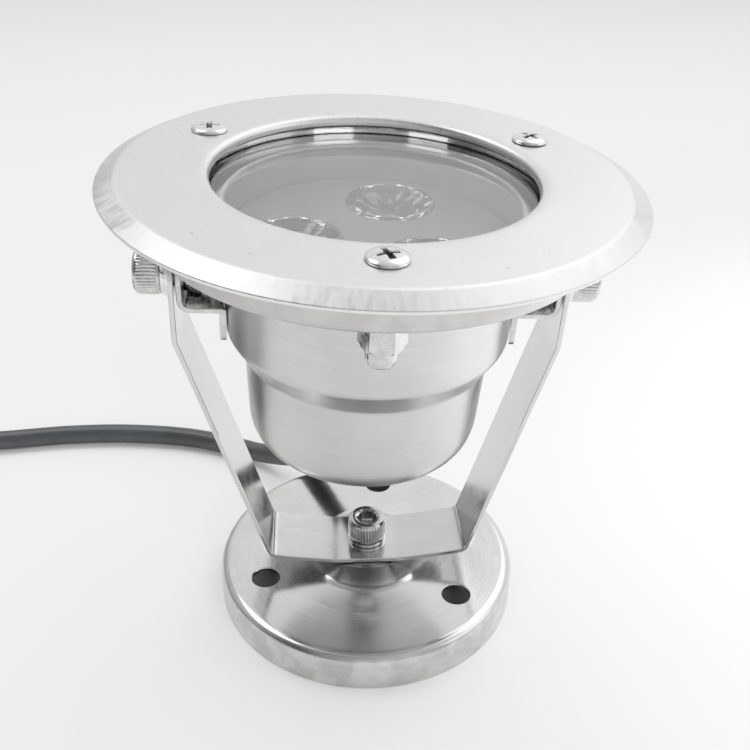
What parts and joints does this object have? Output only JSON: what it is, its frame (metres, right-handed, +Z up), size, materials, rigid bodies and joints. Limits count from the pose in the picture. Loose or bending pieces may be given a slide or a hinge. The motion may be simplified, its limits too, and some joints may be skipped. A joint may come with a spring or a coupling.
{
  "type": "underwater pool light",
  "caption": "Round stainless underwater spotlight with a bevelled bezel and glass front, tilting in a bent yoke on a round swivel foot, with a cable.",
  "frame": {"origin": "bottom centre of the light, on the surface it stands on, under the base bolt", "axes": "+Z up through the base bolt, -Y towards the front of the lamp, +X to its right"},
  "size_m": [0.2873, 0.1241, 0.121],
  "materials": {
    "satin_steel": "satin, fine grinding lines on the bevel",
    "polished_steel": "polished, mirror-like with faint smears",
    "screw_steel": "bright",
    "window_glass": "clear, greenish edge",
    "optic_clear": "clear moulded",
    "gasket_rubber": "matt",
    "cable_rubber": "matt with a slight sheen",
    "grey_plate": "matt grey",
    "circuit_board": "matt",
    "aluminium": "plain",
    "led_package": "matt, off-white",
    "copper_wire": "enamelled",
    "black_nylon": "matt",
    "core_brown": "gloss",
    "core_blue": "gloss"
  },
  "bodies": {
    "base": {"base_dish": "polished_steel", "base_bolt": "screw_steel", "base_washer": "screw_steel", "base_nut_washer": "screw_steel", "base_nut": "screw_steel"},
    "yoke": {"yoke_bracket": "polished_steel", "cable_drop": "cable_rubber", "cable_run": "cable_rubber", "cable_coil": "cable_rubber", "coil_tie": "black_nylon", "cable_tail": "cable_rubber", "core_brown": "core_brown", "core_blue": "core_blue"},
    "head": {"bezel_ring": "satin_steel", "housing_can": "satin_steel", "glass_lens": "window_glass", "glass_gasket": "gasket_rubber", "seat_gasket": "gasket_rubber", "bezel_screw_1": "screw_steel", "crown_nut_1": "screw_steel", "bezel_screw_2": "screw_steel", "crown_nut_2": "screw_steel", "bezel_screw_3": "screw_steel", "crown_nut_3": "screw_steel", "ear_bracket_right": "polished_steel", "pivot_bolt_right": "screw_steel", "pivot_washer_right": "screw_steel", "pivot_spring_washer_right": "screw_steel", "pivot_insert_right": "screw_steel", "ear_bracket_left": "polished_steel", "pivot_bolt_left": "screw_steel", "pivot_washer_left": "screw_steel", "pivot_spring_washer_left": "screw_steel", "pivot_insert_left": "screw_steel", "cover_plate": "grey_plate", "led_board": "circuit_board", "heat_plate": "aluminium", "led_optic_1": "optic_clear", "led_emitter_1": "led_package", "led_optic_2": "optic_clear", "led_emitter_2": "led_package", "led_optic_3": "optic_clear", "led_emitter_3": "led_package", "plate_pillar_1": "aluminium", "board_screw_1": "screw_steel", "plate_pillar_2": "aluminium", "board_screw_2": "screw_steel", "plate_pillar_3": "aluminium", "board_screw_3": "screw_steel", "driver_board": "circuit_board", "driver_pillar_1": "aluminium", "driver_pillar_2": "aluminium", "driver_coil": "copper_wire", "driver_capacitor": "black_nylon", "gland_body": "screw_steel", "gland_nut": "screw_steel", "gland_seal": "gasket_rubber", "gland_cap": "screw_steel", "lead_tail": "cable_rubber"}
  },
  "joints": [
    {"name": "yoke_swivel", "type": "hinge", "parent": "base", "child": "yoke", "pos_m": [0, 0, 0.0136], "axis": [0, 0, 1], "range_deg": [-180, 180]},
    {"name": "head_tilt", "type": "hinge", "parent": "yoke", "child": "head", "pos_m": [0, 0, 0.0914], "axis": [0.997, 0.0683, -0.0354], "range_deg": [-82.4, 87.6], "deforming": ["cable_drop"]}
  ]
}
